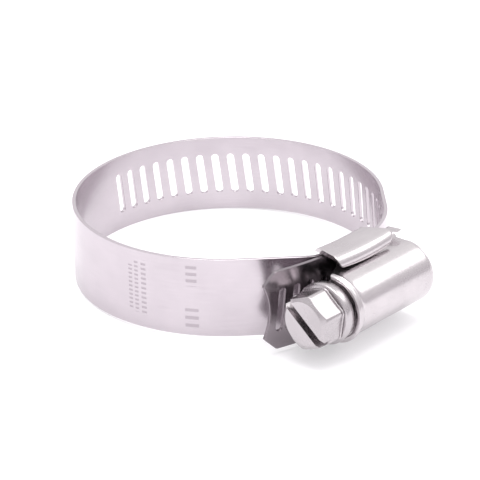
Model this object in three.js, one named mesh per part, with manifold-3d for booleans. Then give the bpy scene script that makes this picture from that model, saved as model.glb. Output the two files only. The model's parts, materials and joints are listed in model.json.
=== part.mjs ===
// Worm-drive hose clamp: a slotted steel band, a saddle whose edges are folded over the flanges of a
// housing, and a captive worm screw with a slotted hex head.
// Millimetres, +Z up. The model is drawn about the axis of the hose, which is Z, with the lower edge
// of the band at z = 0. The housing is at -Y and the screw lies along X, with its head towards -X.
import * as THREE from 'three';
import { mergeVertices } from 'three/addons/utils/BufferGeometryUtils.js';
import Module from 'manifold-3d';

const wasm = await Module();
wasm.setup();

// ---- driving dimensions ----
const bandWidth = 12.7;
const bandThickness = 0.6;
const loopRadius = 24.3; // middle of the band's thickness
const slotPitch = 2.6; // along the band, and the lead of the screw
const slotLength = 6.9;
const slotWidth = 1.2;
const slotSlant = THREE.MathUtils.degToRad(6.9);
const slotCount = 37;
const firstSlotAngle = THREE.MathUtils.degToRad(89.3); // round the loop from +X
const hingeCount = 11; // bends that stand in for the flexing of the strip
const linkGap = 0.3;

const channelCentre = new THREE.Vector2(-2.2, 21); // the saddle is curved about this axis
const tailRadius = 47.7; // middle of the sliding layer
const layerGap = 0.12;
const fixedRadius = tailRadius - bandThickness - layerGap;
const fixedEndX = -0.5; // where the fixed end of the strip stops inside the housing
const tightBend = 3; // bend of the fixed end where it leaves the housing
const easyBend = 18; // bend of the slotted part where it enters the housing
const fixedDeparture = THREE.MathUtils.degToRad(45); // loop angle where the round part ends
const slottedDeparture = THREE.MathUtils.degToRad(44);
const tailCorner = 2.0; // corner cut of the tail
const tailHollow = 1.0; // depth of the hollow in the tail's end
const tailMargin = 2.9; // from the centre of the last slot to the corners of the tail

const saddleThickness = 0.7;
const saddleHalfLength = 6.4;
const saddleHalfWidth = 7.25;
const saddlePlateFrontX = -6.4; // the plate stops short of the walls, to let the strip out
const saddlePlateRearX = 3.5;
const saddleCurlEnd = 5.15; // how near the lips of the curls come to the middle
const saddleCurlRadius = 51.6; // outside of the curls, about channelCentre
const saddleLipFrontX = -7.6; // the lips are shorter than the curls
const saddleLipRearX = 3.0;
const footBend = 0.95; // outside radius of its bends
const curlBend = 1.3;

const screwAxisRadius = 30.7; // distance of the screw's axis from the loop's axis
const archOuter = 4.95;
const archInner = 4.25;
const housingFrontX = -11.3;
const housingRearX = 7.2;
const flangeHalfWidth = 6.15;
const flangeThickness = 0.75;
const flangeRadius = tailRadius + bandThickness / 2 + 0.3; // underside, about channelCentre
const flangeFrontX = -8.6;
const lipOuter = 5.45;
const lipLength = 0.8;
const mouthTopY = -30.4; // below this the front of the housing slopes back towards the band
const mouthSlope = 1.8;
const neckHole = 3.15;
const tipHole = 2.6;

const threadCrest = 4.1;
const threadRoot = 3.2;
const threadFrontX = -10;
const threadRearX = 5.4;
const crestWidth = 0.42;
const flankWidth = 0.3;
const threadSteps = 18; // facets in one turn
const neckRadius = 2.8;
const tipRadius = 2.3;
const collarFrontRadius = 4.85; // tapers towards the band side, to pass over the tail
const collarRearRadius = 4.5;
const collarRearX = -11.6;
const collarFrontX = -13.4;
const hexAcrossFlats = 7.94;
const headFrontX = -18;
const headTurn = THREE.MathUtils.degToRad(51); // one flat faces this way, up from outward
const driverSlotWidth = 1.36;
const driverSlotDepth = 2.0;

const middleZ = bandWidth / 2;

// ---- materials ----
function steel(name, colour, roughness) {
  return new THREE.MeshStandardMaterial({ name, color: colour, roughness, metalness: 1 });
}
const bandSteel = steel('band_steel', 0xc9c3c8, 0.32);
const formedSteel = steel('formed_steel', 0xd2ccce, 0.28);
const screwSteel = steel('screw_steel', 0xb9b3b5, 0.35);

// ---- solids ----
function solidOf(geometry) {
  const bare = geometry.clone();
  for (const attribute of ['normal', 'uv']) bare.deleteAttribute(attribute);
  const merged = mergeVertices(bare, 1e-5);
  return new wasm.Manifold(new wasm.Mesh({
    numProp: 3,
    vertProperties: new Float32Array(merged.attributes.position.array),
    triVerts: new Uint32Array(merged.index.array),
  }));
}

function geometryOf(solid) {
  const mesh = solid.getMesh();
  const geometry = new THREE.BufferGeometry();
  geometry.setAttribute('position', new THREE.BufferAttribute(mesh.vertProperties, 3));
  geometry.setIndex(new THREE.BufferAttribute(mesh.triVerts, 1));
  return geometry;
}

function prism(shape, depth, curveSegments = 8) {
  return new THREE.ExtrudeGeometry(shape, { depth, bevelEnabled: false, curveSegments });
}

// Turns what was drawn in (Y, Z) and extruded so that its depth lies along X.
function depthAlongX() {
  return new THREE.Matrix4().makeBasis(
    new THREE.Vector3(0, 1, 0),
    new THREE.Vector3(0, 0, 1),
    new THREE.Vector3(1, 0, 0),
  );
}

function alongX(shape, x0, x1, curveSegments = 8) {
  const geometry = prism(shape, x1 - x0, curveSegments);
  geometry.applyMatrix4(depthAlongX());
  geometry.translate(x0, 0, 0);
  return geometry;
}

// A round or regular bar along X, with its axis where the screw's is.
function bar(radius, x0, x1, sides, turn = 0, rearRadius = radius) {
  const geometry = new THREE.CylinderGeometry(radius, rearRadius, x1 - x0, sides);
  geometry.rotateY(turn);
  geometry.rotateZ(Math.PI / 2);
  geometry.translate((x0 + x1) / 2, -screwAxisRadius, middleZ);
  return geometry;
}

// ---- the line that the middle of the strip follows, seen from above ----
function polar(centre, radius, angle) {
  return new THREE.Vector2(
    centre.x + radius * Math.cos(angle),
    centre.y + radius * Math.sin(angle),
  );
}

function arcPiece(centre, radius, start, end) {
  return {
    length: radius * (end - start),
    step: Math.min(2.6, radius * THREE.MathUtils.degToRad(6.5)),
    at: (d) => polar(centre, radius, start + d / radius),
    outwardAt: (d) => polar(new THREE.Vector2(), 1, start + d / radius),
  };
}

function linePiece(from, to) {
  const along = to.clone().sub(from);
  const length = along.length();
  along.normalize();
  return {
    length,
    step: length,
    at: (d) => from.clone().addScaledVector(along, d),
    outwardAt: () => new THREE.Vector2(along.y, -along.x),
  };
}

function angleAbout(centre, point) {
  return Math.atan2(point.y - centre.y, point.x - centre.x);
}

// The bend that joins the channel's arc to the straight run that leaves the round part of the loop.
// side is 1 towards +X and -1 towards -X.
function easing(side, departure, bend, channelRadius) {
  const normal = new THREE.Vector2(side * Math.sin(departure), -Math.cos(departure));
  const run = new THREE.Vector2(-side * Math.cos(departure), -Math.sin(departure));
  const start = normal.clone().multiplyScalar(loopRadius - bend);
  const offset = start.clone().sub(channelCentre);
  const half = offset.dot(run);
  const rest = offset.lengthSq() - (channelRadius - bend) ** 2;
  const centre = start.addScaledVector(run, -half + Math.sqrt(half * half - rest));
  const spoke = centre.clone().sub(channelCentre).normalize();
  return {
    centre,
    onChannel: channelCentre.clone().addScaledVector(spoke, channelRadius),
    onRun: centre.clone().addScaledVector(normal, bend),
    onLoop: normal.clone().multiplyScalar(loopRadius),
  };
}

const entry = easing(1, slottedDeparture, easyBend, tailRadius);
const exit = easing(-1, fixedDeparture, tightBend, fixedRadius);
const loopCentre = new THREE.Vector2();

function arcBetween(centre, radius, from, to) {
  const start = angleAbout(centre, from);
  let end = angleAbout(centre, to);
  if (end < start) end += 2 * Math.PI;
  return arcPiece(centre, radius, start, end);
}

function onArcAtX(radius, x) {
  const across = x - channelCentre.x;
  return new THREE.Vector2(x, channelCentre.y - Math.sqrt(radius * radius - across * across));
}

// Distance along the strip is measured from where the slotted part enters its easing bend,
// positive round the loop to the fixed end, and negative through the housing to the tail.
const entryBend = arcBetween(entry.centre, easyBend, entry.onChannel, entry.onRun);
const entryRun = linePiece(entry.onRun, entry.onLoop);
const round = arcBetween(loopCentre, loopRadius, entry.onLoop, exit.onLoop);
const exitRun = linePiece(exit.onLoop, exit.onRun);
const exitBend = arcBetween(exit.centre, tightBend, exit.onRun, exit.onChannel);
const fixedArc = arcBetween(channelCentre, fixedRadius, exit.onChannel,
  onArcAtX(fixedRadius, fixedEndX));

const loopStart = entryBend.length + entryRun.length;
const firstSlot = loopStart
  + (firstSlotAngle - angleAbout(loopCentre, entry.onLoop)) * loopRadius;
const lastSlot = firstSlot - (slotCount - 1) * slotPitch;
const tailEnd = lastSlot - tailMargin;
const channelAngle = angleAbout(channelCentre, entry.onChannel);
const tailArc = arcPiece(channelCentre, tailRadius,
  channelAngle + tailEnd / tailRadius, channelAngle);
const pieces = [tailArc, entryBend, entryRun, round, exitRun, exitBend, fixedArc];

const stations = [tailEnd];
for (const piece of pieces) stations.push(stations.at(-1) + piece.length);
const stripEnd = stations.at(-1);

function placeOn(distance) {
  let index = pieces.length - 1;
  while (index > 0 && distance < stations[index]) index -= 1;
  const within = distance - stations[index];
  return { point: pieces[index].at(within), outward: pieces[index].outwardAt(within) };
}

// Distances from start to end, close enough together to follow every bend between them.
function samplesBetween(start, end) {
  const samples = [start];
  pieces.forEach((piece, index) => {
    const from = Math.max(start, stations[index]);
    const to = Math.min(end, stations[index + 1]);
    if (to - from < 1e-6) return;
    const count = Math.max(1, Math.ceil((to - from) / piece.step));
    for (let i = 1; i <= count; i += 1) samples.push(from + ((to - from) * i) / count);
  });
  return samples;
}

// ---- the strip ----
function slotCutter(distance) {
  const straight = slotLength / 2 - slotWidth / 2;
  const shape = new THREE.Shape();
  shape.absarc(0, straight, slotWidth / 2, 0, Math.PI);
  shape.absarc(0, -straight, slotWidth / 2, Math.PI, 2 * Math.PI);
  const depth = 4 * bandThickness;
  const geometry = prism(shape, depth, 5);
  geometry.translate(0, 0, -depth / 2);
  geometry.rotateZ(-slotSlant);
  return placeCutter(geometry, distance);
}

// Turns a cutter drawn in (along the strip, up) with its depth outwards, and puts it on the strip.
function placeCutter(geometry, distance) {
  const { point, outward } = placeOn(distance);
  const along = new THREE.Vector3(-outward.y, outward.x, 0);
  const out = new THREE.Vector3(outward.x, outward.y, 0);
  const up = new THREE.Vector3(0, 0, 1);
  const basis = new THREE.Matrix4().makeBasis(along, up, out);
  basis.setPosition(point.x, point.y, middleZ);
  geometry.applyMatrix4(basis);
  return solidOf(geometry);
}

// Takes away the corners of the tail and hollows its end between them.
function tailCutter() {
  const half = bandWidth / 2;
  const corner = half - tailCorner;
  const beyond = -2;
  const shape = new THREE.Shape();
  shape.moveTo(beyond, -half - 1);
  shape.lineTo(tailCorner, -half - 1);
  shape.lineTo(tailCorner, -half);
  shape.lineTo(0, -corner);
  shape.quadraticCurveTo(2 * tailHollow, 0, 0, corner);
  shape.lineTo(tailCorner, half);
  shape.lineTo(tailCorner, half + 1);
  shape.lineTo(beyond, half + 1);
  shape.closePath();
  const depth = 6 * bandThickness;
  const geometry = prism(shape, depth);
  geometry.translate(0, 0, -depth / 2);
  return placeCutter(geometry, tailEnd);
}

function faceOf(samples, offset) {
  const places = samples.map(placeOn);
  return places.map(({ point, outward }) => point.clone().addScaledVector(outward, offset));
}

function stripPiece(start, end) {
  const samples = samplesBetween(start, end);
  const outer = faceOf(samples, bandThickness / 2);
  const inner = faceOf(samples, -bandThickness / 2);
  const outline = new THREE.Shape([...outer, ...inner.reverse()]);
  let solid = solidOf(prism(outline, bandWidth));
  for (let i = 0; i < slotCount; i += 1) {
    const distance = firstSlot - i * slotPitch;
    if (distance > start && distance < end) solid = solid.subtract(slotCutter(distance));
  }
  if (start <= tailEnd) solid = solid.subtract(tailCutter());
  return geometryOf(solid);
}

// The hinges share out the strip evenly, and each one in the slotted part moves to the middle of
// the nearest land between two slots.
function hingeDistances() {
  const toLand = (distance) => firstSlot + slotPitch / 2
    - slotPitch * Math.round((firstSlot + slotPitch / 2 - distance) / slotPitch);
  const first = stations[4] + exitRun.length * 0.75;
  const last = toLand(3);
  const distances = [];
  for (let i = 0; i < hingeCount; i += 1) {
    const even = first + ((last - first) * i) / (hingeCount - 1);
    distances.push(even > firstSlot + 2 ? even : toLand(even));
  }
  return distances;
}

const hinges = hingeDistances();

// ---- the saddle: a curved plate whose long edges curl up and over the housing's flanges ----
class ChannelArc extends THREE.Curve {
  constructor(radius, x0, x1) {
    super();
    this.radius = radius;
    this.start = angleAbout(channelCentre, onArcAtX(radius, x0));
    this.sweep = angleAbout(channelCentre, onArcAtX(radius, x1)) - this.start;
  }

  getPoint(t, target = new THREE.Vector3()) {
    const point = polar(channelCentre, this.radius, this.start + t * this.sweep);
    return target.set(point.x, point.y, middleZ);
  }
}

// Sweeps a shape drawn in (across the band, outwards from the given radius) round the channel's arc.
function alongChannel(shape, radius, x0, x1, steps) {
  const extrudePath = new ChannelArc(radius, x0, x1);
  const options = { extrudePath, steps, bevelEnabled: false, curveSegments: 5 };
  return new THREE.ExtrudeGeometry(shape, options);
}

const saddleRadius = fixedRadius - bandThickness / 2 - layerGap; // outer face of its plate

// Half of the section, from the middle of the plate out, up the wall, round the curl and back.
// A step with a corner is a bend round it.
function saddleHalf() {
  const t = saddleThickness;
  const half = saddleHalfWidth;
  const rise = saddleCurlRadius - saddleRadius; // top of the curls
  return [
    { to: [half - footBend, -t] },
    { corner: [half, -t], to: [half, footBend - t] },
    { to: [half, rise - curlBend] },
    { corner: [half, rise], to: [half - curlBend, rise] },
    { to: [saddleCurlEnd, rise] },
    { to: [saddleCurlEnd, rise - t] },
    { to: [half - curlBend, rise - t] },
    { corner: [half - t, rise - t], to: [half - t, rise - curlBend] },
    { to: [half - t, footBend - t] },
    { corner: [half - t, 0], to: [half - footBend, 0] },
  ];
}

// Traces the half section on one side. Outwards is negative, because the sweep turns it over.
function traceSaddle(shape, steps, side) {
  for (const { corner, to } of steps) {
    const [w, h] = to;
    if (corner) shape.quadraticCurveTo(side * corner[0], -corner[1], side * w, -h);
    else shape.lineTo(side * w, -h);
  }
}

function saddleShape() {
  const steps = saddleHalf();
  const back = [];
  for (let i = steps.length - 1; i > 0; i -= 1) {
    back.push({ corner: steps[i].corner, to: steps[i - 1].to });
  }
  const shape = new THREE.Shape();
  shape.moveTo(0, saddleThickness);
  traceSaddle(shape, steps, 1);
  shape.lineTo(-steps.at(-1).to[0], 0);
  traceSaddle(shape, back, -1);
  shape.closePath();
  return shape;
}

function saddle() {
  const x0 = channelCentre.x - saddleHalfLength;
  const x1 = channelCentre.x + saddleHalfLength;
  let solid = solidOf(alongChannel(saddleShape(), saddleRadius, x0, x1, 13));
  const across = 2 * (saddleHalfWidth - saddleThickness);
  for (const [from, to] of [[-20, saddlePlateFrontX], [saddlePlateRearX, 20]]) {
    const notch = new THREE.BoxGeometry(to - from, 3, across);
    notch.translate((from + to) / 2, channelCentre.y - saddleRadius + 0.6, middleZ);
    solid = solid.subtract(solidOf(notch));
  }
  for (const [from, to] of [[-20, saddleLipFrontX], [saddleLipRearX, 20]]) {
    const trim = new THREE.BoxGeometry(to - from, 3, 2 * (saddleHalfWidth - curlBend));
    trim.translate((from + to) / 2, channelCentre.y - saddleCurlRadius + 0.5, middleZ);
    solid = solid.subtract(solidOf(trim));
  }
  return geometryOf(solid);
}

// ---- the housing: a half-round tunnel over the screw, with flanges on the band ----
// Shapes for alongX are drawn in (Y, Z), so outwards is -Y.
function archShape(outer, inner, foot) {
  const axis = -screwAxisRadius;
  const shape = new THREE.Shape();
  shape.moveTo(foot, middleZ + outer);
  shape.absarc(axis, middleZ, outer, Math.PI / 2, 1.5 * Math.PI, false);
  shape.lineTo(foot, middleZ - outer);
  shape.lineTo(foot, middleZ - inner);
  shape.absarc(axis, middleZ, inner, 1.5 * Math.PI, Math.PI / 2, true);
  shape.lineTo(foot, middleZ + inner);
  shape.closePath();
  return shape;
}

function flange(side) {
  const shape = new THREE.Shape();
  const edge = -side * flangeHalfWidth;
  const root = -side * (archInner + 0.1);
  shape.moveTo(root, 0);
  shape.lineTo(edge, 0);
  shape.lineTo(edge, -flangeThickness);
  shape.lineTo(-side * (archOuter + 0.35), -flangeThickness);
  shape.lineTo(root, -flangeThickness - 0.6);
  shape.closePath();
  return alongChannel(shape, flangeRadius, flangeFrontX, housingRearX - 0.2, 10);
}

// What the sloping front of the housing leaves open towards the band.
function mouth() {
  const bandSide = -26;
  const shape = new THREE.Shape();
  shape.moveTo(housingFrontX - 1, mouthTopY);
  shape.lineTo(housingFrontX, mouthTopY);
  shape.lineTo(housingFrontX + mouthSlope * (bandSide - mouthTopY), bandSide);
  shape.lineTo(housingFrontX - 1, bandSide);
  shape.closePath();
  return solidOf(prism(shape, bandWidth));
}

function housing() {
  const foot = channelCentre.y - flangeRadius + 1;
  let solid = solidOf(alongX(archShape(archOuter, archInner, foot), housingFrontX, housingRearX, 12));
  solid = solid.add(solidOf(alongX(archShape(lipOuter, neckHole, foot),
    housingFrontX, housingFrontX + lipLength, 12)));
  solid = solid.add(solidOf(alongX(archShape(archOuter, tipHole, foot),
    housingRearX - lipLength, housingRearX, 12)));
  for (const side of [1, -1]) solid = solid.add(solidOf(flange(side)));
  const under = new THREE.Shape();
  under.absarc(channelCentre.x, channelCentre.y, flangeRadius,
    -Math.PI / 2 - 0.3, -Math.PI / 2 + 0.3);
  under.closePath();
  const clearance = prism(under, bandWidth + 10, 30);
  clearance.translate(0, 0, -5);
  return geometryOf(solid.subtract(solidOf(clearance)).subtract(mouth()));
}

// ---- the worm screw ----
// The crest stands in a slot where it faces the band: the nearest slot to the middle of the saddle.
const slotBelow = firstSlot - slotPitch * Math.round((firstSlot + 3.5) / slotPitch);
const threadPhase = -(2 * Math.PI * (placeOn(slotBelow).point.x - threadFrontX)) / slotPitch;

// Its thread is one section, a circle with a single bump, extruded along the axis with a twist.
function thread() {
  const section = new THREE.Shape();
  const turnOf = (width) => (2 * Math.PI * width) / slotPitch;
  const half = turnOf(crestWidth) / 2;
  const foot = half + turnOf(flankWidth);
  const rounds = 12;
  const corners = [[-half, threadCrest], [0, threadCrest], [half, threadCrest]];
  for (let i = 0; i <= rounds; i += 1) {
    corners.push([foot + ((2 * Math.PI - 2 * foot) * i) / rounds, threadRoot]);
  }
  section.setFromPoints(corners.map(([angle, radius]) => polar(loopCentre, radius, angle)));
  const depth = threadRearX - threadFrontX;
  const steps = Math.ceil((depth / slotPitch) * threadSteps);
  const geometry = new THREE.ExtrudeGeometry(section, { depth, steps, bevelEnabled: false });
  const { position } = geometry.attributes;
  const vertex = new THREE.Vector3();
  const axis = new THREE.Vector3(0, 0, 1);
  for (let i = 0; i < position.count; i += 1) {
    vertex.fromBufferAttribute(position, i);
    vertex.applyAxisAngle(axis, threadPhase + (2 * Math.PI * vertex.z) / slotPitch);
    position.setXYZ(i, vertex.x, vertex.y, vertex.z);
  }
  const basis = depthAlongX();
  basis.setPosition(threadFrontX, -screwAxisRadius, middleZ);
  geometry.applyMatrix4(basis);
  return solidOf(geometry);
}

function driverSlot() {
  const geometry = new THREE.BoxGeometry(2 * driverSlotDepth, driverSlotWidth, 4 * hexAcrossFlats);
  geometry.rotateX(Math.PI / 2 - headTurn + Math.PI / 2);
  geometry.translate(headFrontX, -screwAxisRadius, middleZ);
  return solidOf(geometry);
}

function screw() {
  const corner = hexAcrossFlats / Math.sqrt(3);
  const hexTurn = headTurn - Math.PI / 3;
  const parts = [
    bar(corner, headFrontX, collarFrontX + 0.1, 6, hexTurn),
    bar(collarFrontRadius, collarFrontX, collarRearX, 36, 0, collarRearRadius),
    bar(neckRadius, collarRearX - 0.1, threadFrontX + 0.1, 24),
    bar(tipRadius, threadRearX - 0.1, housingRearX + 0.3, 20),
  ];
  let solid = thread();
  for (const part of parts) solid = solid.add(solidOf(part));
  return geometryOf(solid.subtract(driverSlot()));
}

// ---- the assembly ----
const group = new THREE.Group();

function add(name, geometry, material) {
  const mesh = new THREE.Mesh(geometry, material);
  mesh.name = name;
  group.add(mesh);
}

add('housing', housing(), formedSteel);
add('saddle', saddle(), formedSteel);
add('worm_screw', screw(), screwSteel);
add('band_fixed_end', stripPiece(hinges[0] + linkGap / 2, stripEnd), bandSteel);
for (let i = 1; i < hinges.length; i += 1) {
  const name = `band_link_${String(i).padStart(2, '0')}`;
  add(name, stripPiece(hinges[i] + linkGap / 2, hinges[i - 1] - linkGap / 2), bandSteel);
}
add('band_tail', stripPiece(tailEnd, hinges.at(-1) - linkGap / 2), bandSteel);

// The origin is the middle of the base of the whole clamp's box.
const front = screwAxisRadius + lipOuter;
const back = loopRadius + bandThickness / 2;
group.position.set(0, (front - back) / 2, saddleHalfWidth - middleZ);

export default group;
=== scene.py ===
"""Worm-drive hose clamp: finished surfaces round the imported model, floor, light and camera.

Sizes are in millimetres and are drawn about the axis of the hose, with the lower edge of the band at
z = 0, as the part is. to_row() turns them into the row frame, in metres. The screw lies along x with
its head at the negative end, and the housing stands off the loop towards negative y.
"""
import json
import math

import bmesh
import bpy
from mathutils import Matrix, Vector

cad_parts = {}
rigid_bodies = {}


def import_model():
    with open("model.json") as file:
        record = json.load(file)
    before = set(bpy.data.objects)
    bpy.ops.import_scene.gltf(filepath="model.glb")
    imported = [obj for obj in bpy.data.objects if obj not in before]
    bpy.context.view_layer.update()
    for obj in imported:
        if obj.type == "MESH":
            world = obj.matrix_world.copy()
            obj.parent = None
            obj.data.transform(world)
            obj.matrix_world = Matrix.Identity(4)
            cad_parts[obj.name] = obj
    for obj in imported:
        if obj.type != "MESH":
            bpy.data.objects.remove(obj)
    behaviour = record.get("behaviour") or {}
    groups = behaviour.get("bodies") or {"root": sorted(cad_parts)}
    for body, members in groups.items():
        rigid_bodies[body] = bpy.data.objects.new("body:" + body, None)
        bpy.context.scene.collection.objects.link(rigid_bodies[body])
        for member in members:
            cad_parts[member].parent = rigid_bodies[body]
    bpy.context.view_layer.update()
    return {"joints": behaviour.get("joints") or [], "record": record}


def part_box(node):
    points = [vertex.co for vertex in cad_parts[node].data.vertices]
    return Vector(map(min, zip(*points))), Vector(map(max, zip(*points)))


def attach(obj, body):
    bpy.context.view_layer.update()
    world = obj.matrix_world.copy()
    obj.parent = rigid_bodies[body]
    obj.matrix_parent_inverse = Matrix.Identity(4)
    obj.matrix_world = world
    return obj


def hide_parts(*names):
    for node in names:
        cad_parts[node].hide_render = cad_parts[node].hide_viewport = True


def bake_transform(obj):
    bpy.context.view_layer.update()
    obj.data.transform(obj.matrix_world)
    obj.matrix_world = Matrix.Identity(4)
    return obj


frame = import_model()

# ---- the part's driving sizes ----
BAND_WIDTH = 12.7
BAND_THICKNESS = 0.6
LOOP_RADIUS = 24.3
SLOT_PITCH = 2.6
SLOT_LENGTH = 6.9
SLOT_WIDTH = 1.2
SLOT_SLANT = math.radians(6.9)
SLOT_COUNT = 37
FIRST_SLOT_ANGLE = math.radians(89.3)
CHANNEL_CENTRE = Vector((-2.2, 21.0))
TAIL_RADIUS = 47.7
LAYER_GAP = 0.12
FIXED_RADIUS = TAIL_RADIUS - BAND_THICKNESS - LAYER_GAP
FIXED_END_X = -0.5
TIGHT_BEND = 3.0
EASY_BEND = 18.0
FIXED_DEPARTURE = math.radians(45)
SLOTTED_DEPARTURE = math.radians(44)
TAIL_CORNER = 2.0
TAIL_HOLLOW = 1.0
TAIL_MARGIN = 2.9

SADDLE_THICKNESS = 0.7
SADDLE_HALF_LENGTH = 6.4
SADDLE_HALF_WIDTH = 7.25
SADDLE_PLATE_FRONT_X = -6.4
SADDLE_PLATE_REAR_X = 3.5
SADDLE_CURL_END = 5.15
SADDLE_CURL_RADIUS = 51.6
SADDLE_CONTACT_Y = 26.7  # how far in front of the hose's axis the saddle's curl stands on the floor

SCREW_AXIS = 30.7
ARCH_OUTER = 4.95
HOUSING_FRONT_X = -11.3
HOUSING_REAR_X = 7.2
HOUSING_CORNER = 0.8
HOUSING_THICKNESS = 0.66
HOUSING_EAR = 2.0
HOUSING_EAR_X = 5.1
FLANGE_HALF_WIDTH = 6.15
FLANGE_THICKNESS = 0.75
FLANGE_FRONT_X = -8.6
FLANGE_RADIUS = TAIL_RADIUS + BAND_THICKNESS / 2 + 0.3
TIP_HOLE = 2.6
REAR_WALL_FOOT_Y = -26.7
MOUTH_TOP_Y = -30.4
MOUTH_SLOPE = 1.8

THREAD_CREST = 4.1
THREAD_ROOT = 3.2
THREAD_FRONT_X = -10.0
THREAD_REAR_X = 5.4
NECK_RADIUS = 2.8
TIP_RADIUS = 2.3
COLLAR_RADIUS = 4.85
COLLAR_FRONT_X = -13.64
COLLAR_REAR_X = -11.6
HEX_ACROSS_FLATS = 7.94
HEX_CORNER_ROUND = 0.134
HEX_REAR_X = -14.16
CHAMFER_LENGTH = 0.55
CHAMFER_RADIUS = 3.5
CHAMFER_RISE = 1.0
HEAD_FRONT_X = -18.0
HEAD_TURN = math.radians(51)
DRIVER_SLOT_WIDTH = 1.36
DRIVER_SLOT_DEPTH = 2.0
MIDDLE_Z = BAND_WIDTH / 2

# ---- the view: a 200 mm lens, from the front left of the housing ----
VIEW_AZIMUTH = math.radians(48)
VIEW_ELEVATION = math.radians(24.3)
VIEW_ROLL = math.radians(-1.12)
VIEW_DISTANCE = 423.5
VIEW_TARGET_RIGHT = 1.73
VIEW_TARGET_Z = 4.85
LENS = 200.0

# ---- looks ----
STRIP_COLOURS = (0.505, 0.46, 0.492), (0.575, 0.526, 0.56)
FORMED_COLOURS = (0.50, 0.467, 0.482), (0.60, 0.563, 0.579)
SCREW_COLOURS = (0.41, 0.382, 0.396), (0.51, 0.478, 0.493)
# Colour mixed in for the stamped bars, and as painted shade and reflection on the tail and the fixed end.
STAMP_AND_SHADE_COLOUR = (0.16, 0.135, 0.15)
PAINTED_SHADE_TAIL = -9.0  # a darker tone, painted shade and reflection at least in part, covers the strip from here to its tail
PAINTED_SHADE_FIXED_MARGIN = 1.5  # and from this much before its tight bend to its fixed end
# Columns of bars: middle and half width along the strip, lowest and highest place across it, period.
BAR_COLUMNS = [
    (116.0, 0.3, 2.6, 10.0, 0.7),
    (117.1, 0.3, 2.4, 10.8, 0.7),
    (118.4, 0.4, 2.0, 11.2, 0.8),
    (126.2, 0.8, 8.2, 11.8, 1.1),
    (126.2, 1.0, 1.0, 4.4, 1.3),
]
INNER_FACE_SHIFT = 20.0  # keeps the bars off the inner face of the strip

# ---- where the drawing stands in the row frame ----
MM = 0.001
SHIFT_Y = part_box("band_link_05")[1].y / MM - LOOP_RADIUS - BAND_THICKNESS / 2
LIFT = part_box("band_link_05")[0].z / MM


def to_row(x, y, z):
    return Vector((x, y + SHIFT_Y, z + LIFT)) * MM


# ---- camera ----
def add_camera():
    right = Vector((math.cos(VIEW_AZIMUTH), -math.sin(VIEW_AZIMUTH), 0))
    away = Vector((math.sin(VIEW_AZIMUTH), math.cos(VIEW_AZIMUTH), 0))
    back = -away * math.cos(VIEW_ELEVATION) + Vector((0, 0, math.sin(VIEW_ELEVATION)))
    up = back.cross(right)
    side = right * math.cos(VIEW_ROLL) + up * math.sin(VIEW_ROLL)
    top = up * math.cos(VIEW_ROLL) - right * math.sin(VIEW_ROLL)
    target = right * VIEW_TARGET_RIGHT + Vector((0, 0, VIEW_TARGET_Z))
    data = bpy.data.cameras.new("camera")
    data.lens = LENS
    data.sensor_width = 36.0
    data.clip_start = 0.01
    data.clip_end = 20.0
    camera = bpy.data.objects.new("camera", data)
    bpy.context.scene.collection.objects.link(camera)
    matrix = Matrix((side, top, back)).transposed().to_4x4()
    matrix.translation = to_row(*(target + back * VIEW_DISTANCE))
    camera.matrix_world = matrix
    bpy.context.scene.camera = camera


add_camera()


# ---- the line that the middle of the strip follows ----
def polar(centre, radius, angle):
    return centre + Vector((math.cos(angle), math.sin(angle))) * radius


def angle_about(centre, point):
    return math.atan2(point.y - centre.y, point.x - centre.x)


class Arc:
    def __init__(self, centre, radius, start, end):
        self.centre = centre
        self.radius = radius
        self.start = start
        self.length = radius * (end - start)

    def place(self, distance):
        angle = self.start + distance / self.radius
        return polar(self.centre, self.radius, angle), polar(Vector((0, 0)), 1.0, angle)


class Line:
    def __init__(self, start, end):
        self.start = start
        self.length = (end - start).length
        self.along = (end - start).normalized()

    def place(self, distance):
        outward = Vector((self.along.y, -self.along.x))
        return self.start + self.along * distance, outward


def easing(side, departure, bend, channel_radius):
    """The bend that joins the channel's arc to the straight run to the round part of the loop."""
    normal = Vector((side * math.sin(departure), -math.cos(departure)))
    run = Vector((-side * math.cos(departure), -math.sin(departure)))
    start = normal * (LOOP_RADIUS - bend)
    offset = start - CHANNEL_CENTRE
    half = offset.dot(run)
    rest = offset.length_squared - (channel_radius - bend) ** 2
    centre = start + run * (-half + math.sqrt(half * half - rest))
    spoke = (centre - CHANNEL_CENTRE).normalized()
    on_channel = CHANNEL_CENTRE + spoke * channel_radius
    return centre, on_channel, centre + normal * bend, normal * LOOP_RADIUS


def arc_between(centre, radius, start_point, end_point):
    start = angle_about(centre, start_point)
    end = angle_about(centre, end_point)
    if end < start:
        end += 2 * math.pi
    return Arc(centre, radius, start, end)


def on_arc_at_x(radius, x):
    across = x - CHANNEL_CENTRE.x
    return Vector((x, CHANNEL_CENTRE.y - math.sqrt(radius * radius - across * across)))


ORIGIN = Vector((0.0, 0.0))
entry_centre, entry_channel, entry_run, entry_loop = easing(1, SLOTTED_DEPARTURE, EASY_BEND, TAIL_RADIUS)
exit_centre, exit_channel, exit_run, exit_loop = easing(-1, FIXED_DEPARTURE, TIGHT_BEND, FIXED_RADIUS)
entry_bend = arc_between(entry_centre, EASY_BEND, entry_channel, entry_run)
entry_line = Line(entry_run, entry_loop)
round_part = arc_between(ORIGIN, LOOP_RADIUS, entry_loop, exit_loop)
exit_line = Line(exit_loop, exit_run)
exit_bend = arc_between(exit_centre, TIGHT_BEND, exit_run, exit_channel)
fixed_arc = arc_between(CHANNEL_CENTRE, FIXED_RADIUS, exit_channel, on_arc_at_x(FIXED_RADIUS, FIXED_END_X))

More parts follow.
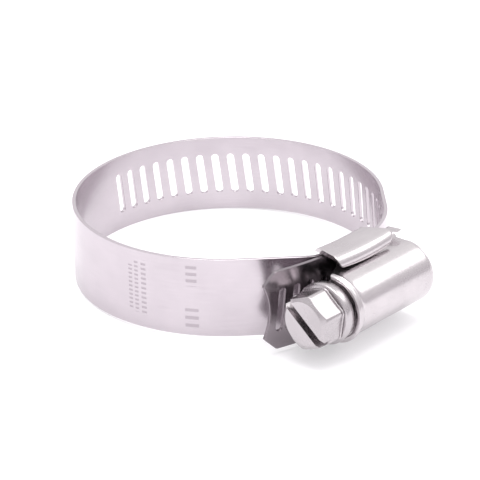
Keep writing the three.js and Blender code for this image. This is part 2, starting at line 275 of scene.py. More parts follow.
# Distance along the strip is measured from where the slotted part enters its easing bend.
loop_start = entry_bend.length + entry_line.length
FIRST_SLOT = loop_start + (FIRST_SLOT_ANGLE - angle_about(ORIGIN, entry_loop)) * LOOP_RADIUS
LAST_SLOT = FIRST_SLOT - (SLOT_COUNT - 1) * SLOT_PITCH
TAIL_END = LAST_SLOT - TAIL_MARGIN
channel_angle = angle_about(CHANNEL_CENTRE, entry_channel)
tail_arc = Arc(CHANNEL_CENTRE, TAIL_RADIUS, channel_angle + TAIL_END / TAIL_RADIUS, channel_angle)
LINE_PIECES = [tail_arc, entry_bend, entry_line, round_part, exit_line, exit_bend, fixed_arc]
STATIONS = [TAIL_END]
for piece in LINE_PIECES:
    STATIONS.append(STATIONS[-1] + piece.length)
STRIP_END = STATIONS[-1]
TIGHT_BEND_START = STATIONS[LINE_PIECES.index(exit_bend)]
TIGHT_BEND_END = STATIONS[LINE_PIECES.index(fixed_arc)]


def place_on(distance):
    """Point on the middle of the strip and its outward direction."""
    index = len(LINE_PIECES) - 1
    while index > 0 and distance < STATIONS[index]:
        index -= 1
    return LINE_PIECES[index].place(distance - STATIONS[index])


def distance_at(point):
    """Distance along the strip of the place nearest to a point."""
    steps = 4000
    span = STRIP_END - TAIL_END
    candidates = (TAIL_END + span * i / steps for i in range(steps + 1))
    return min(candidates, key=lambda d: (place_on(d)[0] - point).length_squared)


# ---- materials ----
class Nodes:
    """A small helper to write a node material as a few calls."""

    def __init__(self, name):
        self.material = bpy.data.materials.new(name)
        self.material.use_nodes = True
        self.tree = self.material.node_tree
        self.shader = self.tree.nodes["Principled BSDF"]
        self.coordinates = self.tree.nodes.new("ShaderNodeTexCoord")

    def link(self, output, target):
        self.tree.links.new(output, target)

    def mapping(self, source, scale):
        node = self.tree.nodes.new("ShaderNodeMapping")
        node.inputs["Scale"].default_value = scale
        self.link(self.coordinates.outputs[source], node.inputs["Vector"])
        return node.outputs["Vector"]

    def noise(self, vector, scale, detail=4.0, roughness=0.55):
        node = self.tree.nodes.new("ShaderNodeTexNoise")
        node.inputs["Scale"].default_value = scale
        node.inputs["Detail"].default_value = detail
        node.inputs["Roughness"].default_value = roughness
        self.link(vector, node.inputs["Vector"])
        return node.outputs["Fac"]

    def remap(self, value, low, high, from_low=0.3, from_high=0.7):
        node = self.tree.nodes.new("ShaderNodeMapRange")
        node.inputs["From Min"].default_value = from_low
        node.inputs["From Max"].default_value = from_high
        node.inputs["To Min"].default_value = low
        node.inputs["To Max"].default_value = high
        self.link(value, node.inputs["Value"])
        return node.outputs["Result"]

    def math(self, operation, first, second=None):
        node = self.tree.nodes.new("ShaderNodeMath")
        node.operation = operation
        for socket, value in zip(node.inputs, (first, second)):
            if value is None:
                continue
            if isinstance(value, (int, float)):
                socket.default_value = value
            else:
                self.link(value, socket)
        return node.outputs["Value"]

    def colours(self, value, dark, light):
        node = self.tree.nodes.new("ShaderNodeMix")
        node.data_type = "RGBA"
        node.inputs["A"].default_value = (*dark, 1)
        node.inputs["B"].default_value = (*light, 1)
        self.link(value, node.inputs["Factor"])
        return node.outputs["Result"]

    def bump(self, height, distance, strength, before=None):
        node = self.tree.nodes.new("ShaderNodeBump")
        node.inputs["Strength"].default_value = strength
        node.inputs["Distance"].default_value = distance
        self.link(height, node.inputs["Height"])
        if before is not None:
            self.link(before, node.inputs["Normal"])
        return node.outputs["Normal"]


def steel(name, dark, light, roughness, grain):
    """Nodes of stainless steel. grain is the coordinate output and the scale along each axis."""
    rough_low, rough_high = roughness
    nodes = Nodes(name)
    shader = nodes.shader
    shader.inputs["Metallic"].default_value = 1.0
    source, stretch = grain
    whole = nodes.mapping(source, (1.0, 1.0, 1.0))
    fine = nodes.mapping(source, stretch)
    clouds = nodes.noise(whole, 150.0, 3.0)
    grain_lines = nodes.noise(fine, 5000.0, 4.0, 0.6)
    shade = nodes.math("ADD", nodes.math("MULTIPLY", clouds, 0.6), nodes.math("MULTIPLY", grain_lines, 0.4))
    nodes.link(nodes.colours(nodes.remap(shade, 0.0, 1.0), dark, light), shader.inputs["Base Color"])
    nodes.link(nodes.remap(shade, rough_high, rough_low), shader.inputs["Roughness"])
    lines = nodes.bump(grain_lines, 0.000004, 0.2)
    nodes.link(nodes.bump(clouds, 0.00006, 0.1, lines), shader.inputs["Normal"])
    return nodes


def pulse(nodes, value, centre, half):
    """One near the centre, falling to nothing just past half."""
    offset = nodes.math("ABSOLUTE", nodes.math("SUBTRACT", value, centre))
    return nodes.remap(offset, 1.0, 0.0, half, half + 0.1 * MM)


def bar_mask(nodes, along, across):
    """Plain bars in a few short columns, which stand in for stamped marks."""
    columns = None
    for column_mm in BAR_COLUMNS:
        middle, half, low, high, period = (size * MM for size in column_mm)
        wide = pulse(nodes, along, middle, half)
        tall = pulse(nodes, across, (low + high) / 2, (high - low) / 2)
        wave = nodes.math("SINE", nodes.math("MULTIPLY", across, math.tau / period))
        bars = nodes.remap(wave, 0.0, 1.0, 0.0, 0.5)
        column = nodes.math("MULTIPLY", nodes.math("MULTIPLY", wide, tall), bars)
        columns = column if columns is None else nodes.math("MAXIMUM", columns, column)
    return columns


def add_strip_marks_and_painted_shade(nodes):
    """Faint bars on the plain part of the strip, and a darker tone painted where it runs under the screw,
    which stands in at least partly for shade and dark reflections.
    """
    shader = nodes.shader
    split = nodes.tree.nodes.new("ShaderNodeSeparateXYZ")
    nodes.link(nodes.coordinates.outputs["UV"], split.inputs["Vector"])
    along, across = split.outputs["X"], split.outputs["Y"]
    bars = bar_mask(nodes, along, across)
    # Painted shade: the tail and the strip from before its tight bend to its fixed end are darkened,
    # standing in at least partly for shade under the screw and the tail and for dark reflections.
    tail = nodes.remap(along, 1.0, 0.0, PAINTED_SHADE_TAIL * MM, (PAINTED_SHADE_TAIL + 3) * MM)
    painted_shade_from = TIGHT_BEND_START - PAINTED_SHADE_FIXED_MARGIN
    fixed = nodes.remap(along, 0.0, 1.0, painted_shade_from * MM, (painted_shade_from + 1.5) * MM)
    painted_shade = nodes.math("MAXIMUM", tail, fixed)
    stamps_and_painted_shade = nodes.math("MAXIMUM", nodes.math("MULTIPLY", bars, 0.35), nodes.math("MULTIPLY", painted_shade, 0.75))
    before = shader.inputs["Base Color"].links[0].from_socket
    node = nodes.tree.nodes.new("ShaderNodeMix")
    node.data_type = "RGBA"
    node.inputs["B"].default_value = (*STAMP_AND_SHADE_COLOUR, 1)
    nodes.link(before, node.inputs["A"])
    nodes.link(stamps_and_painted_shade, node.inputs["Factor"])
    nodes.link(node.outputs["Result"], shader.inputs["Base Color"])
    grain = shader.inputs["Normal"].links[0].from_socket
    nodes.link(nodes.bump(bars, -0.00004, 0.5, grain), shader.inputs["Normal"])


# ---- meshes ----
def new_object(name, mesh):
    obj = bpy.data.objects.new(name, mesh)
    bpy.context.scene.collection.objects.link(obj)
    return obj


def applied(obj):
    """Turns an object with modifiers into one with a plain mesh."""
    depsgraph = bpy.context.evaluated_depsgraph_get()
    mesh = bpy.data.meshes.new_from_object(obj.evaluated_get(depsgraph), depsgraph=depsgraph)
    obj.modifiers.clear()
    obj.data = mesh
    return obj


def slot_outline(distance, segments=10):
    """A slanted slot with round ends, drawn in (distance along the strip, z)."""
    straight = (SLOT_LENGTH - SLOT_WIDTH) / 2
    points = []
    for half_turn in (0, 1):
        centre = straight if half_turn == 0 else -straight
        for i in range(segments + 1):
            angle = math.pi * (half_turn + i / segments)
            x = math.cos(angle) * SLOT_WIDTH / 2
            z = centre + math.sin(angle) * SLOT_WIDTH / 2
            along = x * math.cos(SLOT_SLANT) + z * math.sin(SLOT_SLANT)
            up = -x * math.sin(SLOT_SLANT) + z * math.cos(SLOT_SLANT)
            points.append((distance + along, MIDDLE_Z + up))
    return points


def tail_outline(end):
    """The strip from the tail to a straight cut: cut corners and a hollowed end."""
    half = BAND_WIDTH / 2
    corner = half - TAIL_CORNER
    points = [(end, 0.0), (end, BAND_WIDTH), (TAIL_END + TAIL_CORNER + 0.2, BAND_WIDTH)]
    points.append((TAIL_END + TAIL_CORNER - 0.1, BAND_WIDTH - 0.12))
    points.append((TAIL_END + 0.12, MIDDLE_Z + corner + 0.15))
    steps = 16
    for i in range(steps + 1):
        across = 1 - 2 * i / steps
        points.append((TAIL_END + TAIL_HOLLOW * (1 - across * across), MIDDLE_Z + across * (corner - 0.05)))
    points.append((TAIL_END + 0.12, MIDDLE_Z - corner - 0.15))
    points.append((TAIL_END + TAIL_CORNER - 0.1, 0.12))
    points.append((TAIL_END + TAIL_CORNER + 0.2, 0.0))
    return points


def flat_strip(outline, holes, edge_round):
    """A flat sheet with rounded edges, in (along, across, thickness)."""
    curve = bpy.data.curves.new("outline", "CURVE")
    curve.dimensions = "2D"
    curve.fill_mode = "BOTH"
    curve.extrude = BAND_THICKNESS / 2 - edge_round
    curve.bevel_depth = edge_round
    curve.bevel_resolution = 1
    curve.offset = -edge_round
    for points in [outline, *holes]:
        spline = curve.splines.new("POLY")
        spline.points.add(len(points) - 1)
        for spot, (x, y) in zip(spline.points, points):
            spot.co = (x, y, 0, 1)
        spline.use_cyclic_u = True
    holder = new_object("outline", curve)
    depsgraph = bpy.context.evaluated_depsgraph_get()
    mesh = bpy.data.meshes.new_from_object(holder.evaluated_get(depsgraph), depsgraph=depsgraph)
    bpy.data.objects.remove(holder)
    bpy.data.curves.remove(curve)
    return mesh


def strip_piece(name, start, end, edge_round=0.07, step=0.35):
    """The strip from start to end, bent onto its line. Its cut ends meet the next pieces."""
    spare = 0.3
    at_tail = start <= TAIL_END
    low, high = start - spare, end + spare
    if end >= STRIP_END:
        high = end
    rectangle = [(high, 0.0), (high, BAND_WIDTH), (low, BAND_WIDTH), (low, 0.0)]
    slots = (FIRST_SLOT - i * SLOT_PITCH for i in range(SLOT_COUNT))
    holes = [slot_outline(d) for d in slots if start < d < end]
    flat = flat_strip(tail_outline(high) if at_tail else rectangle, holes, edge_round)
    work = bmesh.new()
    work.from_mesh(flat)
    bpy.data.meshes.remove(flat)
    bmesh.ops.remove_doubles(work, verts=work.verts, dist=1e-4)

    def cut(distance, clear_side=0):
        everything = work.verts[:] + work.edges[:] + work.faces[:]
        bmesh.ops.bisect_plane(
            work,
            geom=everything,
            dist=1e-5,
            plane_co=(distance, 0, 0),
            plane_no=(1, 0, 0),
            clear_inner=clear_side < 0,
            clear_outer=clear_side > 0,
        )
        if clear_side:
            rim = [e for e in work.edges if e.is_boundary]
            bmesh.ops.holes_fill(work, edges=rim, sides=0)

    if not at_tail:
        cut(start, -1)
    if end < STRIP_END:
        cut(end, 1)
    distance = start + step
    while distance < end - step / 2:
        cut(distance)
        in_tight_bend = TIGHT_BEND_START - step < distance < TIGHT_BEND_END
        distance += step / 3 if in_tight_bend else step
    bmesh.ops.recalc_face_normals(work, faces=work.faces)
    layer = work.loops.layers.uv.verify()
    broad = [abs(f.normal.z) > 0.98 for f in work.faces]
    sign = [1 if f.normal.z > 0 else -1 for f in work.faces]
    for face in work.faces:
        shift = INNER_FACE_SHIFT * MM if face.normal.z < -0.5 else 0.0
        for loop in face.loops:
            loop[layer].uv = (loop.vert.co.x * MM, loop.vert.co.y * MM + shift)
    outward_of = {}
    for vert in work.verts:
        along, across, through = vert.co
        point, outward = place_on(along)
        outward_of[vert.index] = outward
        spot = point + outward * through
        vert.co = to_row(spot.x, spot.y, across)
    work.normal_update()
    normals = []
    for is_broad, way, face in zip(broad, sign, work.faces):
        for loop in face.loops:
            if is_broad:
                outward = outward_of[loop.vert.index]
                normals.append((outward.x * way, outward.y * way, 0.0))
            else:
                normals.append(tuple(face.normal))
    mesh = bpy.data.meshes.new(name)
    work.to_mesh(mesh)
    work.free()
    mesh.shade_smooth()
    mesh.normals_split_custom_set(normals)
    return new_object(name, mesh)


def grid_mesh(name, rows):
    """A sheet through closed rings of points, in the drawing's millimetres."""
    work = bmesh.new()
    verts = [[work.verts.new(to_row(*p)) for p in row] for row in rows]
    columns = len(rows[0])
    for i in range(len(rows) - 1):
        for j in range(columns):
            k = (j + 1) % columns
            work.faces.new((verts[i][j], verts[i][k], verts[i + 1][k], verts[i + 1][j]))
    mesh = bpy.data.meshes.new(name)
    work.to_mesh(mesh)
    work.free()
    return new_object(name, mesh)


def recalculated(obj):
    work = bmesh.new()
    work.from_mesh(obj.data)
    bmesh.ops.remove_doubles(work, verts=work.verts, dist=1e-7)
    bmesh.ops.recalc_face_normals(work, faces=work.faces)
    work.to_mesh(obj.data)
    work.free()
    return obj


def smooth_by_angle(obj, degrees):
    obj.data.shade_smooth()
    obj.data.set_sharp_from_angle(angle=math.radians(degrees))
    return obj


def rounded_edges(obj, width, angle=35, segments=2):
    bevel = obj.modifiers.new("round", "BEVEL")
    bevel.width = width * MM
    bevel.segments = segments
    bevel.limit_method = "ANGLE"
    bevel.angle_limit = math.radians(angle)
    bevel.use_clamp_overlap = True
    bevel.harden_normals = False
    return applied(obj)


# ---- pressed sheet ----
def bend_points(centre, radius, start, end, count):
    """Points round a bend, angles in degrees, drawn in (across, outward)."""
    points = []
    for i in range(count + 1):
        angle = math.radians(start + (end - start) * i / count)
        points.append((centre[0] + radius * math.cos(angle), centre[1] + radius * math.sin(angle)))
    return points


def loft(name, rings):
    """A closed solid through closed rings of points, in the drawing's millimetres."""
    obj = grid_mesh(name, rings)
    cap_ends(obj)
    return obj


def cap_ends(obj):
    work = bmesh.new()
    work.from_mesh(obj.data)
    bmesh.ops.remove_doubles(work, verts=work.verts, dist=1e-7)
    bmesh.ops.holes_fill(work, edges=[e for e in work.edges if e.is_boundary], sides=0)
    bmesh.ops.recalc_face_normals(work, faces=work.faces)
    work.to_mesh(obj.data)
    work.free()


def cut_box(obj, size, place, turn=None):
    """Takes a box away from an object. size is in millimetres, place in the row frame."""
    work = bmesh.new()
    bmesh.ops.create_cube(work, size=1.0)
    scale = Matrix.Diagonal((*(side * MM for side in size), 1))
    whole = Matrix.Translation(place) @ (turn or Matrix.Identity(4)) @ scale
    bmesh.ops.transform(work, matrix=whole, verts=work.verts)
    mesh = bpy.data.meshes.new("cutter")
    work.to_mesh(mesh)
    work.free()
    cutter = new_object("cutter", mesh)
    cut = obj.modifiers.new("cut", "BOOLEAN")
    cut.operation = "DIFFERENCE"
    cut.solver = "EXACT"
    cut.object = cutter
    applied(obj)
    bpy.data.objects.remove(cutter)
    bpy.data.meshes.remove(mesh)


def smoothstep(value):
    value = min(1.0, max(0.0, value))
    return value * value * (3 - 2 * value)


# ---- the saddle ----
def saddle_ring(lip):
    """Outline of the section: the sheet lies under the band and its edges curl over the flanges."""
    t = SADDLE_THICKNESS
    face = FIXED_RADIUS - BAND_THICKNESS / 2 - LAYER_GAP
    top = SADDLE_CURL_RADIUS
    half = SADDLE_HALF_WIDTH
    curl, foot = 1.55, 0.95
    side = [(0.0, face - t), (half * 0.5, face - t)]
    side += bend_points((half - foot, face - t + foot), foot, -90, 0, 5)
    side += bend_points((half - curl, top - curl), curl, 0, 90, 10)
    side += [(lip + 0.3, top - 0.02), (lip + 0.1, top - 0.1), (lip, top - 0.25)]
    side += [(lip, top - t + 0.15), (lip + 0.12, top - t)]
    side += bend_points((half - curl, top - curl), curl - t, 90, 0, 6)
    side += bend_points((half - foot, face - t + foot), foot - t, 0, -90, 3)
    side += [(half * 0.5, face), (0.0, face)]
    return side + [(-across, out) for across, out in reversed(side[1:-1])]


def saddle_ends(across, radius):
    """How far the sheet reaches forward and back: its corners are round at the foot and at the lip."""
    height = (radius - FIXED_RADIUS) / (SADDLE_CURL_RADIUS - FIXED_RADIUS)
    rise = smoothstep(height / 0.45)
    inward = (SADDLE_HALF_WIDTH - abs(across)) / (SADDLE_HALF_WIDTH - SADDLE_CURL_END)
    inward = min(1.0, inward) if height > 0.6 else 0.0
    front = SADDLE_HALF_LENGTH - 0.5 + 0.3 * rise - 1.2 * inward * inward
    rear = SADDLE_HALF_LENGTH - 1.9 + 1.5 * rise - 1.6 * inward
    return -front, rear


def make_saddle():
    stations = 40
    rings = []
    for i in range(stations + 1):
        share = i / stations
        bow = 0.25 * (2 * share - 1) ** 2
        ring = []
        for across, radius in saddle_ring(SADDLE_CURL_END + bow):
            front, rear = saddle_ends(across, radius)
            angle = (front + (rear - front) * share) / FIXED_RADIUS
            spot = CHANNEL_CENTRE + Vector((math.sin(angle), -math.cos(angle))) * radius
            ring.append((spot.x, spot.y, MIDDLE_Z + across))
        rings.append(ring)
    obj = loft("saddle_sheet", rings)
    inside = 2 * (SADDLE_HALF_WIDTH - SADDLE_THICKNESS)
    face_y = CHANNEL_CENTRE.y - FIXED_RADIUS + BAND_THICKNESS / 2 + LAYER_GAP
    for x0, x1 in ((-20.0, SADDLE_PLATE_FRONT_X), (SADDLE_PLATE_REAR_X, 20.0)):
        cut_box(obj, (x1 - x0, 3, inside), to_row((x0 + x1) / 2, face_y + 0.6, MIDDLE_Z))
    return smooth_by_angle(rounded_edges(recalculated(obj), 0.1), 32)


# ---- the housing ----
def housing_radius(x):
    """Outside radius of the tunnel: a rolled double lip in front and a rounded rear end."""
    lip_rise, lip_length, lip_slope = 0.46, 0.55, 0.35
    bead_rise, bead_place, bead_width = 0.16, 1.25, 0.22
    rim_fall, rim_length = 0.12, 0.25
    radius = ARCH_OUTER
    from_front = x - HOUSING_FRONT_X
    radius += lip_rise * (1 - smoothstep((from_front - lip_length) / lip_slope))
    radius += bead_rise * math.exp(-(((from_front - bead_place) / bead_width) ** 2))
    radius -= rim_fall * max(0.0, rim_length - from_front) / rim_length
    from_rear = HOUSING_REAR_X - x
    if from_rear < HOUSING_CORNER:
        inward = HOUSING_CORNER - from_rear
        radius -= HOUSING_CORNER - math.sqrt(HOUSING_CORNER**2 - inward**2)
    return radius


def housing_face(x, depth):
    """One face of the sheet, from flange edge to flange edge over the arch, depth under the outside."""
    radius = housing_radius(x)
    across_x = x - CHANNEL_CENTRE.x
    top = FLANGE_RADIUS + FLANGE_THICKNESS
    flange = math.sqrt(top * top - across_x * across_x) - CHANNEL_CENTRE.y
    share = smoothstep((x - FLANGE_FRONT_X + 0.1) / 0.25)
    fillet = 0.05 + 0.95 * share
    lift = HOUSING_EAR * smoothstep((x - HOUSING_EAR_X) / 0.7)
    inset = ARCH_OUTER * share + radius * (1 - share) + fillet
    edge = inset + 0.05 + (FLANGE_HALF_WIDTH - inset - 0.05) * share
    half = [(edge, flange - depth + lift), (0.4 * edge + 0.6 * inset, flange - depth + 0.3 * lift)]
    half += bend_points((inset, flange + fillet), fillet + depth, -90, -180, 6)
    half[-1] = (0.5 * (inset - fillet + radius) - depth, flange + fillet)
    half += [(radius - depth, flange + fillet + 0.3), (radius - depth, SCREW_AXIS - 0.5)]
    half += bend_points((0, SCREW_AXIS), radius - depth, 0, 90, 24)
    return half + [(-across, out) for across, out in reversed(half[:-1])]


def housing_section(x):
    """Section of the tunnel's sheet and its flanges, in (across, distance from the hose's axis)."""
    return housing_face(x, 0.0) + housing_face(x, HOUSING_THICKNESS)[::-1]


def housing_stations():
    ends = [0, 0.06, 0.15, 0.3, 0.45, 0.55, 0.65, 0.75, 0.85, 0.95, 1.05, 1.15, 1.25, 1.35, 1.45, 1.6]
    stations = [HOUSING_FRONT_X + d for d in ends]
    rear = HOUSING_REAR_X - HOUSING_CORNER
    count = 28
    stations += [stations[-1] + (rear - stations[-1]) * i / count for i in range(1, count + 1)]
    stations += [rear + HOUSING_CORNER * math.sin(math.radians(9 * i)) for i in range(1, 11)]
    return stations


def make_housing():
    rings = []
    for x in housing_stations():
        rings.append([(x, -h, MIDDLE_Z + w) for w, h in housing_section(x)])
    obj = loft("housing_shell", rings)
    cut_mouth(obj)
    return smooth_by_angle(rounded_edges(recalculated(obj), 0.09), 35)


def cut_mouth(obj):
    """Takes away the front of the housing towards the band, beyond a line that slopes back."""
    rise = 5.0
    half_deep = 4.0
    along = Vector((MOUTH_SLOPE * rise, rise))
    middle = Vector((HOUSING_FRONT_X, MOUTH_TOP_Y)) + along / 2
    middle += Vector((-along.y, along.x)).normalized() * half_deep
    turn = Matrix.Rotation(math.atan2(along.y, along.x), 4, "Z")
    cut_box(obj, (12, 2 * half_deep, 30), to_row(middle.x, middle.y, MIDDLE_Z), turn)


def make_front_wall():
    """The front wall of the tunnel, open towards the band, with a round hole for the screw."""
    foot, outer, hole = 27.5, 4.8, 3.15
    outline = [(outer, foot)] + bend_points((0, SCREW_AXIS), outer, 0, 180, 40) + [(-outer, foot)]
    outline += [(-hole, foot)] + bend_points((0, SCREW_AXIS), hole, 180, 0, 32) + [(hole, foot)]
    ends = (HOUSING_FRONT_X + 0.1, HOUSING_FRONT_X + 0.75)
    wall = loft("housing_front_wall", [[(x, -h, MIDDLE_Z + w) for w, h in outline] for x in ends])
    cut_mouth(wall)
    return smooth_by_angle(rounded_edges(recalculated(wall), 0.08), 30)


def turned(name, profile, sides=72):
    """A ring or bar about the screw's axis, from (x, radius) points, closed on itself or on the axis."""
    rows = []
    for x, radius in profile:
        ring = []
        for i in range(sides):
            angle = 2 * math.pi * i / sides
            ring.append((x, -SCREW_AXIS + radius * math.cos(angle), MIDDLE_Z + radius * math.sin(angle)))
        rows.append(ring)
    return recalculated(grid_mesh(name, rows))


def make_rear_wall():
    rim = housing_radius(HOUSING_REAR_X - 0.35) - 0.05
    profile = [
        (HOUSING_REAR_X - 0.9, TIP_HOLE),
        (HOUSING_REAR_X - 0.1, TIP_HOLE),
        (HOUSING_REAR_X - 0.02, TIP_HOLE + 0.1),
        (HOUSING_REAR_X - 0.02, rim - 0.15),
        (HOUSING_REAR_X - 0.15, rim),
        (HOUSING_REAR_X - 0.9, rim),
        (HOUSING_REAR_X - 0.9, TIP_HOLE),
    ]
    wall = turned("housing_rear_wall", profile)
    cut_box(wall, (4, 3, 14), to_row(HOUSING_REAR_X, REAR_WALL_FOOT_Y + 1.5, MIDDLE_Z))
    return smooth_by_angle(recalculated(wall), 30)


# ---- the worm screw ----
def hex_radius(angle):
    """Radius of the hexagon with softened corners. Angle 0 is the middle of a flat."""
    turn = (angle + math.radians(30)) % math.radians(60) - math.radians(30)
    return min(HEX_ACROSS_FLATS / 2 / math.cos(turn), HEX_ACROSS_FLATS / math.sqrt(3) - HEX_CORNER_ROUND)


def make_screw_head():
    sides = 180
    steps = 10
    hexagon = [hex_radius(math.tau * i / sides) for i in range(sides)]
    limits = [(HEAD_FRONT_X, CHAMFER_RADIUS - 0.3)]
    for i in range(steps + 1):
        share = i / steps
        limits.append((HEAD_FRONT_X + share * CHAMFER_LENGTH, CHAMFER_RADIUS + share * CHAMFER_RISE))
    rows = [[(x, min(limit, radius)) for radius in hexagon] for x, limit in limits]
    # The flats end in a ridge with a groove on either side of it.
    flats = [(-16.0, 1.0), (-14.3, 1.0), (HEX_REAR_X, 1.0), (-14.12, 0.97), (-14.02, 0.97)]
    flats += [(-13.98, 1.03), (-13.82, 1.04), (-13.78, 0.985), (-13.68, 0.98)]
    rows += [[(x, scale * radius) for radius in hexagon] for x, scale in flats]
    rounds = [
        (COLLAR_FRONT_X, COLLAR_RADIUS - 0.55),
        (COLLAR_FRONT_X + 0.04, COLLAR_RADIUS - 0.33),
        (COLLAR_FRONT_X + 0.11, COLLAR_RADIUS - 0.15),
        (COLLAR_FRONT_X + 0.21, COLLAR_RADIUS - 0.04),
        (COLLAR_FRONT_X + 0.34, COLLAR_RADIUS),
        (COLLAR_REAR_X - 0.7, COLLAR_RADIUS - 0.07),
        (COLLAR_REAR_X - 0.18, COLLAR_RADIUS - 0.23),
        (COLLAR_REAR_X - 0.05, COLLAR_RADIUS - 0.33),
        (COLLAR_REAR_X, COLLAR_RADIUS - 0.5),
        (COLLAR_REAR_X, NECK_RADIUS),
        (THREAD_FRONT_X, NECK_RADIUS),
    ]
    rows += [[(x, radius)] * sides for x, radius in rounds]
    placed = []
    for row in rows:
        ring = []
        for i, (x, radius) in enumerate(row):
            angle = math.pi - HEAD_TURN + math.tau * i / sides
            ring.append((x, -SCREW_AXIS + radius * math.cos(angle), MIDDLE_Z + radius * math.sin(angle)))
        placed.append(ring)
    obj = loft("screw_head", placed)
    turn = Matrix.Rotation(math.pi - HEAD_TURN, 4, "X")
    size = (2 * DRIVER_SLOT_DEPTH, DRIVER_SLOT_WIDTH, 20)
    cut_box(obj, size, to_row(HEAD_FRONT_X, -SCREW_AXIS, MIDDLE_Z), turn)
    return smooth_by_angle(rounded_edges(recalculated(obj), 0.07, 25), 28)


def thread_phase():
    """Turn of the thread that puts a crest into the slot nearest the middle of the saddle."""
    nearest = FIRST_SLOT - SLOT_PITCH * round((FIRST_SLOT + 3.5) / SLOT_PITCH)
    slot_x = place_on(nearest)[0].x
    return -math.tau * (slot_x - THREAD_FRONT_X) / SLOT_PITCH


def make_thread():
    crest_half, flank = 0.21, 0.3
    to_angle = math.tau / SLOT_PITCH
    section = []
    for i in range(7):
        share = -1 + i / 3
        section.append((share * crest_half * to_angle, THREAD_CREST - 0.05 * share * share))
    foot = (crest_half + flank) * to_angle
    section += [(foot - 0.25, THREAD_ROOT + 0.3), (foot, THREAD_ROOT + 0.06)]
    for i in range(1, 22):
        section.append((foot + (math.tau - 2 * foot) * i / 22, THREAD_ROOT))
    section += [(-foot, THREAD_ROOT + 0.06), (-foot + 0.25, THREAD_ROOT + 0.3)]
    phase = thread_phase()
    length = THREAD_REAR_X - THREAD_FRONT_X
    steps = int(length / SLOT_PITCH * 44)
    rows = []
    for k in range(steps + 1):
        along = length * k / steps
        runout = min(1.0, along / 0.6, (length - along) / 0.6)
        turn = phase + math.tau * along / SLOT_PITCH
        ring = []
        for angle, radius in section:
            held = THREAD_ROOT + (radius - THREAD_ROOT) * smoothstep(runout)
            spot = polar(ORIGIN, held, angle + turn)
            ring.append((THREAD_FRONT_X + along, -SCREW_AXIS + spot.x, MIDDLE_Z + spot.y))
        rows.append(ring)
    return smooth_by_angle(loft("screw_thread", rows), 50)


def make_screw_tip():
    """The plain end of the screw, with a shallow hollow in its rear face."""
    rear = HOUSING_REAR_X + 0.3
    on_axis = 0.001
    profile = [
        (THREAD_REAR_X - 0.2, on_axis),
        (THREAD_REAR_X - 0.2, TIP_RADIUS),
        (rear - 0.3, TIP_RADIUS),
        (rear - 0.08, TIP_RADIUS - 0.1),
        (rear, TIP_RADIUS - 0.35),
        (rear, 0.9),
        (rear - 0.35, on_axis),
    ]
    return smooth_by_angle(turned("screw_tip", profile, 48), 30)


# ---- pieces, with their materials and bodies ----
strip_nodes = steel("strip_steel", *STRIP_COLOURS, (0.2, 0.27), ("UV", (0.04, 1.0, 1.0)))
add_strip_marks_and_painted_shade(strip_nodes)
strip_steel = strip_nodes.material
formed_steel = steel("formed_steel", *FORMED_COLOURS, (0.2, 0.3), ("Object", (0.2, 1.0, 1.0))).material
screw_steel = steel("screw_steel", *SCREW_COLOURS, (0.22, 0.32), ("Object", (1.0, 1.0, 1.0))).material


def finish_piece(obj, material):
    obj.data.materials.clear()
    obj.data.materials.append(material)
    return obj


def joint_named(name):
    return next(j for j in frame["joints"] if j["name"] == name)


def hinge_distance(joint):
    x, y, _ = joint["pos_m"]
    return distance_at(Vector((x / MM, y / MM - SHIFT_Y)))


def to_land(distance):
    """The nearest middle of a land between two slots, in the slotted part of the strip."""
    if distance > FIRST_SLOT + SLOT_PITCH:
        return distance
    steps = round((FIRST_SLOT + SLOT_PITCH / 2 - distance) / SLOT_PITCH)
    return FIRST_SLOT + SLOT_PITCH / 2 - steps * SLOT_PITCH


def strip_point(distance):
    point, _ = place_on(distance)
    return to_row(point.x, point.y, MIDDLE_Z)


def make_strip():
    bends = sorted((j for j in frame["joints"] if j["name"].startswith("bend_")), key=lambda j: j["name"])
    hinges = [hinge_distance(j) for j in bends]
    # Each piece holds one hinge, and the seams between them are clear of the slots.
    seams = [hinges[0] + 2.0]
    seams += [to_land((a + b) / 2) for a, b in zip(hinges, hinges[1:])]
    seams.append(to_land(hinges[-1] - 3.0))
    fixed = strip_piece("strip_fixed_end", seams[0], STRIP_END)
    finish_piece(fixed, strip_steel)
    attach(fixed, bends[0]["parent"])
    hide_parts("band_fixed_end")
    for number, joint in enumerate(bends):
        high, low = seams[number], seams[number + 1]
        piece = strip_piece(f"strip_bend_{number + 1:02d}", low, high)
        finish_piece(piece, strip_steel)
        strip_point(high)
        strip_point(low)
        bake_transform(piece)
        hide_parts(*frame["record"]["behaviour"]["bodies"][joint["child"]])
    tail = strip_piece("strip_tail", TAIL_END, seams[-1])
    finish_piece(tail, strip_steel)
    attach(tail, bends[-1]["child"])
    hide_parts("band_tail")


make_strip()

clamp_body = joint_named("screw_turn")["parent"]
screw_body = joint_named("screw_turn")["child"]
for maker in (make_housing, make_front_wall, make_rear_wall, make_saddle):
    made = finish_piece(maker(), formed_steel)
    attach(made, clamp_body)
    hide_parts(made.name.split("_")[0])
for maker in (make_screw_head, make_thread, make_screw_tip):
    made = finish_piece(maker(), screw_steel)
    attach(made, screw_body)
    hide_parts("worm_screw")


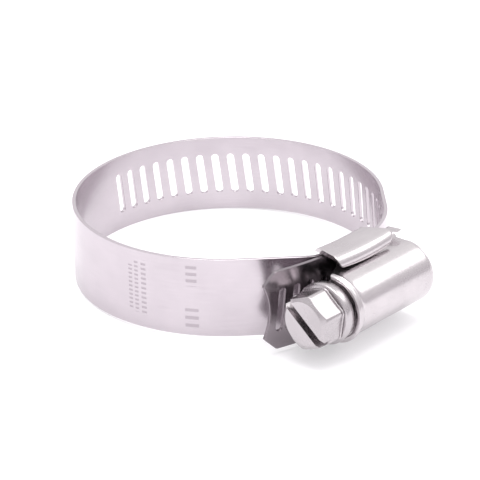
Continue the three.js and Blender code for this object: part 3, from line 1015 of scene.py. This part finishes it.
# ---- floor and light ----
def add_floor():
    """The clamp lies on the saddle's curl and on the far edge of the band, so the floor slopes a little."""
    front_y = (SHIFT_Y - SADDLE_CONTACT_Y) * MM
    slope = LIFT / (SADDLE_CONTACT_Y + LOOP_RADIUS)
    work = bmesh.new()
    reach = 3.0
    corners = [(-reach, -reach), (reach, -reach), (reach, reach), (-reach, reach)]
    work.faces.new([work.verts.new((x, y, (y - front_y) * slope)) for x, y in corners])
    mesh = bpy.data.meshes.new("floor")
    work.to_mesh(mesh)
    work.free()
    floor = new_object("floor", mesh)
    nodes = Nodes("floor_white")
    tone = nodes.noise(nodes.mapping("Object", (1.0, 1.0, 1.0)), 3.0, 2.0)
    shader = nodes.shader
    nodes.link(nodes.colours(tone, (0.60, 0.59, 0.605), (0.62, 0.61, 0.625)), shader.inputs["Base Color"])
    nodes.link(nodes.colours(tone, (0.99, 0.985, 1.0), (1.0, 0.995, 1.0)), shader.inputs["Emission Color"])
    shader.inputs["Emission Strength"].default_value = 0.4
    shader.inputs["Roughness"].default_value = 0.6
    shader.inputs["Specular IOR Level"].default_value = 0.1
    mesh.materials.append(nodes.material)


def add_light(name, place, size, power):
    data = bpy.data.lights.new(name, "AREA")
    data.shape = "RECTANGLE"
    data.size, data.size_y = size
    data.energy = power
    light = new_object(name, data)
    light.location = place
    light.rotation_mode = "QUATERNION"
    light.rotation_quaternion = (-Vector(place)).to_track_quat("-Z", "Y")


def add_world():
    world = bpy.data.worlds.new("studio")
    world.use_nodes = True
    tree = world.node_tree
    background = tree.nodes["Background"]
    coordinates = tree.nodes.new("ShaderNodeTexCoord")
    split = tree.nodes.new("ShaderNodeSeparateXYZ")
    ramp = tree.nodes.new("ShaderNodeValToRGB")
    tree.links.new(coordinates.outputs["Generated"], split.inputs["Vector"])
    tree.links.new(split.outputs["Z"], ramp.inputs["Fac"])
    tree.links.new(ramp.outputs["Color"], background.inputs["Color"])
    ramp.color_ramp.elements[0].position = 0.0
    ramp.color_ramp.elements[0].color = (0.62, 0.59, 0.62, 1)
    ramp.color_ramp.elements[1].position = 0.7
    ramp.color_ramp.elements[1].color = (1.0, 1.0, 1.0, 1)
    background.inputs["Strength"].default_value = 1.3
    bpy.context.scene.world = world


add_floor()
add_world()
add_light("softbox", (0.42, -0.21, 0.40), (0.34, 0.26), 0.5)
add_light("overhead", (0.0, 0.0, 1.0), (0.8, 0.8), 8.0)
bpy.context.scene.view_settings.view_transform = "Standard"
